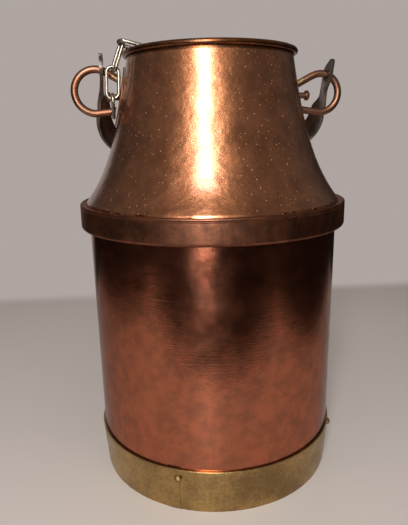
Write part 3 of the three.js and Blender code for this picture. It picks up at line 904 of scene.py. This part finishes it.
def leaf_plate(name):
    """The right ear's back plate: a pointed leaf, bent to the neck, with softened edges."""
    nothing_selected()
    half, width, sheet, softened = 23 * MM, 9.5 * MM, 1.2 * MM, 0.25 * MM
    rows, columns = 40, 12
    bpy.ops.mesh.primitive_grid_add(x_subdivisions=columns, y_subdivisions=rows, size=2)
    plate = bpy.context.object
    plate.name = name
    for vertex in plate.data.vertices:
        across, up = vertex.co.x, vertex.co.y
        share_up = 1 - abs(up)
        reach = width * (1 - (1 - share_up) ** 2) * (0.62 + 0.38 * share_up)
        height = STUD_HEIGHT + up * half
        y = across * max(reach, 0.05 * MM)
        radius = neck_radius(height) + FIT
        vertex.co = (math.sqrt(radius * radius - y * y), y, height)
    edit(plate, "FACE")
    closed_up(10 * MERGE)
    if plate.data.polygons[len(plate.data.polygons) // 2].normal.x < 0:
        edit(plate, "FACE", "SELECT")
        bpy.ops.mesh.flip_normals()
        bpy.ops.object.mode_set(mode="OBJECT")
    modify(plate, "SOLIDIFY", thickness=sheet, offset=1)
    cut(plate, stud_hole())
    return bevelled(plate, softened, 2)


def rod_ends(piece, plate_face):
    """Trims a rod's two ends to the back plate, so that they meet it without passing into it."""
    nothing_selected()
    bpy.ops.mesh.primitive_cylinder_add(vertices=96, radius=1, depth=60 * MM, location=(0, 0, 322 * MM))
    tool = placed(bpy.context.object)
    for vertex in tool.data.vertices:
        reach = neck_radius(vertex.co.z) + plate_face
        vertex.co.x *= reach
        vertex.co.y *= reach
    return cut(piece, tool)


class MILKCAN_OT_ears(Undoable, bpy.types.Operator):
    """Forms both ears: back plates, rod rings with brazed feet, and headed studs"""

    bl_idname = "milkcan.ears"
    bl_label = "Ears"

    def execute(self, context):
        brazed = 80 * MM
        plate = smooth(leaf_plate("ear_leaf_right"))
        for side, ear in EARS.items():
            ring = rod_along(f"ear_rod_{side}", smooth_route(ear_route(ear)), EAR_ROD)
            smooth(rod_ends(ring, 1.8 * MM), 40)
            coated(ring, "Ear copper")
            coated(ring, "Brazing", lambda f: f.center.z > ear["height"] and f.center.x < brazed)
            if side == "left":
                placed(ring, HALF_ROUND)
            finish_piece(ring, "can", [f"ear_ring_{side}"])

        radius, rise, thick, shank = 4.2 * MM, 4.0 * MM, 1.6 * MM, 2.5 * MM
        behind, plate_face, free = 1.6 * MM, 1.5 * MM, 6.6 * MM
        tail_face = neck_radius(STUD_HEIGHT + radius) - behind
        head_face = neck_radius(STUD_HEIGHT - radius) + plate_face + free
        outline = [(0.15 * MM, tail_face - thick), (3.4 * MM, tail_face - 1.5 * MM)]
        outline += [(radius, tail_face - 0.9 * MM), (radius, tail_face), (shank, tail_face)]
        outline += [(shank, head_face), (3.7 * MM, head_face)]
        outline += [(radius, head_face + 0.7 * MM), (radius, head_face + thick)]
        outline += dome(radius, head_face + thick, rise - thick, range(12, 90, 12), 0.05 * MM)
        outline += [(0.15 * MM, head_face + rise)]
        stud = turned("ear_pin_right", outline, sides=40, closed=False)
        placed(stud, Matrix.Translation((0, 0, STUD_HEIGHT)) @ ON_ITS_SIDE)

        for piece, kind, stem in ((plate, "plate", "ear_leaf"), (stud, "stud", "ear_pin")):
            twin = copied(piece, f"{stem}_left", HALF_ROUND)
            finish_piece(piece, "can", [f"ear_{kind}_right"], "Ear copper")
            finish_piece(twin, "can", [f"ear_{kind}_left"], "Ear copper")
        return {"FINISHED"}


# Bail


def eased(value):
    x = min(max(value, 0.0), 1.0)
    return x * x * (3 - 2 * x)


FLAT_LEG = 20 * MM  # how far down each leg the strap stays flat


def bail_stations(b):
    """Places along the strap from the right tip to the left one: across, down, bow, width and twist."""
    leg, depth, bow, steps = 44 * MM, 80 * MM, 30 * MM, 60
    eye, tip, straight = 14.2 * MM, 15.5 * MM, 8 * MM
    narrow, widening = 22 * MM, 18 * MM
    sides = {1: (5.5 * MM, math.radians(14), 1.25), -1: (2.8 * MM, math.radians(32), 0.8)}
    tip_shape = [(1, 1.9), (0.96, 2.8), (0.9, 3.7), (0.8, 4.9), (0.66, 6.4)]
    eye_shape = [(-0.55, 10.6), (-0.45, 12.2), (-0.3, 13.5), (-0.12, 14.2), (0.12, 14.2), (0.3, 13.5)]
    eye_shape += [(0.45, 12.2), (0.6, 11.0), (0.8, 10.3), (1.0, 10.0)]

    def one_leg(side):
        wider, twist, blunt = sides[side]
        places = [(-tip * up, width * blunt * MM) for up, width in tip_shape]
        places += [(eye * down, width * MM) for down, width in eye_shape]
        for i in range(1, 13):
            down = eye + (leg - eye) * i / 12
            flare = eased((down - narrow) / widening)
            places.append((down, b.leg_width + (b.grip_width - b.leg_width) * flare))
        return [
            (
                side * (b.eye_half + wider * eased(down / leg)), down, 0.0, width,
                twist * eased((down - straight) / (leg - straight)),
            )
            for down, width in places
        ]

    under = []
    for i in range(1, steps):
        angle = math.pi * i / steps
        across = math.cos(angle)
        wider, twist, _ = sides[1 if across > 0 else -1]
        under.append((
            (b.eye_half + wider) * across, leg + depth * math.sin(angle), bow * math.sin(angle) ** 2,
            b.grip_width, twist * abs(across),
        ))
    return one_leg(1) + under + one_leg(-1)[::-1]


class MILKCAN_OT_bail(Undoable, bpy.types.Operator):
    """Draws out the strap bail, station by station, and drills its eyes"""

    bl_idname = "milkcan.bail"
    bl_label = "Strap bail"

    def execute(self, context):
        b = context.scene.milk_can.bail
        stations = bail_stations(b)
        centres = [Vector((x, y, -down)) for x, down, y, *_ in stations]
        widths = [station[3] for station in stations]
        nothing_selected()
        columns = 10
        bpy.ops.mesh.primitive_grid_add(x_subdivisions=2, y_subdivisions=columns, size=1)
        strap = context.object
        strap.name = "bail_strap"
        turn = Matrix.Rotation(heading(centres[1] - centres[0]) - math.pi, 4, "Y")
        section = Matrix.Diagonal((b.thickness, widths[0], 1, 1))
        placed(strap, Matrix.Translation(centres[0]) @ turn @ section)
        swept(strap, centres, widths)
        bpy.ops.object.mode_set(mode="OBJECT")
        self.curl_and_twist(strap, b, stations, centres)
        edit(strap, "FACE")
        closed_up()
        through, softened = 5 * MM, 0.5 * MM
        for reach in (-b.eye_half, b.eye_half):
            cut(strap, drill(BAIL_HOLE, (reach - through, 0, 0), (reach + through, 0, 0), 40))
        bevelled(strap, softened, 3)
        turn = Matrix.Rotation(b.lean, 4, "Y") @ Matrix.Rotation(b.tilt, 4, "X")
        placed(strap, Matrix.Translation((b.shift, 0, b.eye_height)) @ turn)
        smooth(strap, 40)
        finish_piece(strap, "bail", ["bail_handle"], "Bail patina")
        return {"FINISHED"}

    def curl_and_twist(self, strap, b, stations, centres):
        """Draws the grip's long edges inwards and turns each section by its twist."""
        for vertex in strap.data.vertices:
            place = min(range(len(centres)), key=lambda i: (centres[i].xz - vertex.co.xz).length)
            _, down, _, width, twist = stations[place]
            before, after = centres[max(place - 1, 0)], centres[min(place + 1, len(centres) - 1)]
            run = (after - before).xz.normalized()
            out = Vector((-run.y, run.x))
            off = vertex.co - centres[place]
            aside = off.y
            curled = b.dish * eased((width - b.leg_width) / (b.grip_width - b.leg_width))
            lift = off.xz.dot(out) - (curled * (2 * aside / width) ** 2 if down > FLAT_LEG else 0)
            outwards = lift * math.cos(twist) - aside * math.sin(twist)
            back = aside * math.cos(twist) + lift * math.sin(twist)
            vertex.co = centres[place] + Vector((out.x * outwards, back, out.y * outwards))


# Chain


def link_places(c):
    """The rest place of each link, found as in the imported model: each hangs in the one before it."""
    bend = c.link_width / 2 - c.wire_radius
    half = c.link_length / 2 - c.wire_radius
    slack = 0.45 * MM
    seat = c.wire_radius * 2 + slack

    def climb(lean):
        return Vector((math.sin(math.radians(lean)), 0, math.cos(math.radians(lean))))

    lean = math.radians(57.0)
    plan = [(Vector((0, -math.sin(lean), math.cos(lean))), None)]
    plan += [(climb(3), 90), (climb(21), 15), (climb(104), -15)]
    plan += [(Vector((0, 0, -1)), None)] * 5
    shifts = {3: (-0.86 * seat, -1.29 * seat, 1.11 * seat)}
    reach = 80.5 * MM
    route = smooth_route(ear_route(EARS["left"]), 60)
    leg = [p for p in route if p.x > reach][-1]
    near = Vector((-reach, 0, leg.z)) - plan[0][0] * (EAR_ROD + c.wire_radius + slack)
    crossed = Vector((1, 0, 0))
    far = near
    places = []
    for i, (run, turn) in enumerate(plan):
        if turn is None:
            width = crossed.cross(run)
        else:
            width = Matrix.Rotation(math.radians(turn), 3, run) @ Vector((0, 1, 0))
        width = (width - run * width.dot(run)).normalized()
        facing = width.cross(run)
        if i in shifts:
            along, across, out = shifts[i]
            near = far + run * along + width * across + facing * out
        middle = near + run * half
        matrix = Matrix((facing, width, run)).transposed().to_4x4()
        places.append(Matrix.Translation(middle) @ matrix)
        if i + 1 == len(plan):
            break
        far = near + run * half * 2
        ahead = plan[i + 1][0]
        pull = ahead - facing * ahead.dot(facing)
        if pull.length < 0.5:
            pull = run.copy()
        pull.normalize()
        crossed = facing.cross(pull)
        drop = (ahead - crossed * ahead.dot(crossed)).normalized()
        near = near + run * (half * 2 - bend) + pull * bend - drop * seat
    return places


class MILKCAN_OT_chain(Undoable, bpy.types.Operator):
    """Bends one link, copies it nine times and hangs the copies in one another"""

    bl_idname = "milkcan.chain"
    bl_label = "Chain"

    def execute(self, context):
        c = context.scene.milk_can.chain
        bend = c.link_width / 2 - c.wire_radius
        stretch = c.link_length / 2 - c.wire_radius - bend
        half_segment = math.radians(3.75)
        nothing_selected()
        bpy.ops.mesh.primitive_torus_add(
            major_radius=bend, minor_radius=c.wire_radius, major_segments=48, minor_segments=16,
            rotation=(0, 0, half_segment),
        )
        upright = Matrix.Rotation(math.pi / 2, 4, "Z") @ Matrix.Rotation(math.pi / 2, 4, "X")
        model = placed(context.object, upright)
        model.name = "chain_link_form"
        for side in (1, -1):
            edit(model)
            pick(model, lambda co: co.z * side > 0)
            bpy.ops.transform.translate(value=(0, 0, side * stretch))
        weld, bulge = 0.4 * MM, 1.09
        edit(model)
        for height in (weld, -weld):
            pick(model, lambda co: co.y > 0 and abs(co.z) < stretch * 2)
            bpy.ops.mesh.bisect(plane_co=(0, 0, height), plane_no=(0, 0, 1))
        pick(model, lambda co: co.y > 0 and abs(abs(co.z) - weld) < weld / 4)
        bpy.ops.transform.resize(value=(bulge, 1.0, 1.0), center_override=(0, bend, 0))
        bpy.ops.object.mode_set(mode="OBJECT")
        smooth(model, 50)
        for number, place in enumerate(link_places(c), 1):
            link = copied(model, f"link_wire_{number}", place)
            finish_piece(link, f"link_{number}", [f"chain_link_{number}"], "Chain steel")
        bpy.data.objects.remove(model, do_unlink=True)
        return {"FINISHED"}


# Stage


def back_mask(tree, vector):
    """A value that is 1 towards the wall behind the can and 0 towards the room's front."""
    parts = split(tree, vector)
    away = sums(tree, "ARCTAN2", parts["X"], parts["Y"])
    return spread(tree, sums(tree, "ABSOLUTE", away, 0), 0.6, 0.4)


def surroundings(tree, s, mask, room):
    """The colour round the floor: the wall's for the camera and at the back, else the room's."""
    rays = node(tree, "ShaderNodeLightPath")
    seen = sums(tree, "MAXIMUM", rays.outputs["Is Camera Ray"], mask)
    return blended(tree, seen, room, (*s.wall, 1))


FLOOR_TURN = math.radians(4.6)


def pale_floor(s):
    """A matt pale floor that passes softly into its surroundings at its four edges."""
    made = bpy.data.materials.new("Pale floor")
    made.use_nodes = True
    tree = made.node_tree
    shader = tree.nodes["Principled BSDF"]
    shader.inputs["Roughness"].default_value = 0.5
    shader.inputs["Specular IOR Level"].default_value = 0.25
    place = node(tree, "ShaderNodeTexCoord").outputs["Object"]
    soft = noise(tree, place, 3.0, 3, 0.5)
    lighter = tuple(min(c * 1.03, 1) for c in s.floor)
    shade = blended(tree, spread(tree, soft, 0.3, 0.7), (*s.floor, 1), (*lighter, 1))
    join(tree, (shade, shader.inputs["Base Color"]))
    turn = node(tree, "ShaderNodeVectorRotate", rotation_type="Z_AXIS", Angle=FLOOR_TURN)
    join(tree, (place, turn.inputs["Vector"]))
    along, up, _ = split(tree, turn.outputs[0])
    flared = sums(tree, "MULTIPLY", sums(tree, "MAXIMUM", up, 0.0), s.flare)
    inside = spread(tree, along, s.left - s.edge, s.left + s.edge)
    for value, limit in ((sums(tree, "SUBTRACT", along, flared), s.right), (up, s.back)):
        inside = sums(tree, "MULTIPLY", spread(tree, value, limit + s.edge, limit - s.edge), inside)
    inside = sums(tree, "MULTIPLY", spread(tree, up, s.front - s.edge, s.front + s.edge), inside)
    glow = node(tree, "ShaderNodeEmission")
    mixed = node(tree, "ShaderNodeMixShader")
    join(
        tree,
        (surroundings(tree, s, back_mask(tree, place), (*s.room, 1)), glow.inputs["Color"]),
        (inside, mixed.inputs[0]),
        (glow.outputs[0], mixed.inputs[1]),
        (shader.outputs[0], mixed.inputs[2]),
        (mixed.outputs[0], tree.nodes["Material Output"].inputs["Surface"]),
    )
    return made


def softbox(name, place, aim, size, power):
    """An area lamp at a place, turned towards a point."""
    nothing_selected()
    bpy.ops.object.light_add(type="AREA", location=place)
    lamp = bpy.context.object
    lamp.name = name
    lamp.data.shape = "RECTANGLE"
    lamp.data.size, lamp.data.size_y = size
    lamp.data.energy = power
    lamp.rotation_euler = (Vector(aim) - Vector(place)).to_track_quat("-Z", "Y").to_euler()
    return lamp


class MILKCAN_OT_stage(Undoable, bpy.types.Operator):
    """Lays the floor and wall, sets the lamps and places the camera"""

    bl_idname = "milkcan.stage"
    bl_label = "Floor, lamps and camera"

    def execute(self, context):
        s = context.scene.milk_can.stage
        nothing_selected()
        bpy.ops.mesh.primitive_plane_add(size=12, location=(0, 0, 0))
        floor = placed(context.object)
        floor.name = "floor"
        floor.data.materials.append(pale_floor(s))

        world = bpy.data.worlds.new("Soft room")
        context.scene.world = world
        world.use_nodes = True
        tree = world.node_tree
        place = node(tree, "ShaderNodeTexCoord").outputs["Generated"]
        parts = split(tree, place)
        high = spread(tree, parts["Z"], 0.0, 0.4)
        lit = sums(tree, "MULTIPLY", high, spread(tree, parts["Y"], 1.1, 0.1))
        room = blended(tree, lit, (*s.room, 1), (*s.upper, 1))
        sky = surroundings(tree, s, back_mask(tree, place), room)
        join(tree, (sky, tree.nodes["Background"].inputs["Color"]))
        tree.nodes["Background"].inputs["Strength"].default_value = 1.0

        softbox("key", (-0.34, -1.12, 0.71), (0, 0, 0.28), (0.30, 1.26), 18.5)
        ceiling = softbox("ceiling", (0.05, -0.45, 1.2), (0, -0.05, 0), (1.0, 0.7), 2.0)
        ceiling.visible_glossy = False

        camera = bpy.data.objects.new("camera", bpy.data.cameras.new("camera"))
        context.collection.objects.link(camera)
        camera.data.lens = 36.13
        camera.data.sensor_width = 36.0
        camera.data.clip_start = 0.01
        camera.location = (-0.08013, -0.45444, 0.29574)
        camera.rotation_euler = [math.radians(a) for a in (75.8432, 1.0820, -9.2826)]
        context.scene.camera = camera
        context.scene.view_settings.view_transform = "Standard"
        return {"FINISHED"}


class MILKCAN_PT_panel(bpy.types.Panel):
    bl_label = "Milk can"
    bl_idname = "MILKCAN_PT_panel"
    bl_space_type = "VIEW_3D"
    bl_region_type = "UI"
    bl_category = "Milk can"

    def draw(self, context):
        for operator in OPERATORS:
            self.layout.operator(operator.bl_idname)
        for part in ("body", "neck", "bail", "chain", "metals", "stage"):
            box = self.layout.box()
            box.label(text=part.title())
            group = getattr(context.scene.milk_can, part)
            for key in group.bl_rna.properties.keys():
                if key not in {"rna_type", "name"}:
                    box.prop(group, key)


OPERATORS = (
    MILKCAN_OT_stage,
    MILKCAN_OT_body,
    MILKCAN_OT_foot,
    MILKCAN_OT_neck,
    MILKCAN_OT_collar,
    MILKCAN_OT_ears,
    MILKCAN_OT_bail,
    MILKCAN_OT_chain,
)
GROUPS = (
    MilkCanBody,
    MilkCanNeck,
    MilkCanBail,
    MilkCanChain,
    MilkCanMetals,
    MilkCanStage,
    MilkCanSettings,
)


def register():
    for item in GROUPS + OPERATORS + (MILKCAN_PT_panel,):
        bpy.utils.register_class(item)
    bpy.types.Scene.milk_can = bpy.props.PointerProperty(type=MilkCanSettings)


def unregister():
    del bpy.types.Scene.milk_can
    for item in reversed(GROUPS + OPERATORS + (MILKCAN_PT_panel,)):
        bpy.utils.unregister_class(item)


def main():
    register()
    bpy.ops.milkcan.stage()
    bpy.ops.milkcan.body()
    bpy.ops.milkcan.foot()
    bpy.ops.milkcan.neck()
    bpy.ops.milkcan.collar()
    bpy.ops.milkcan.ears()
    bpy.ops.milkcan.bail()
    bpy.ops.milkcan.chain()


if __name__ == "__main__":
    main()
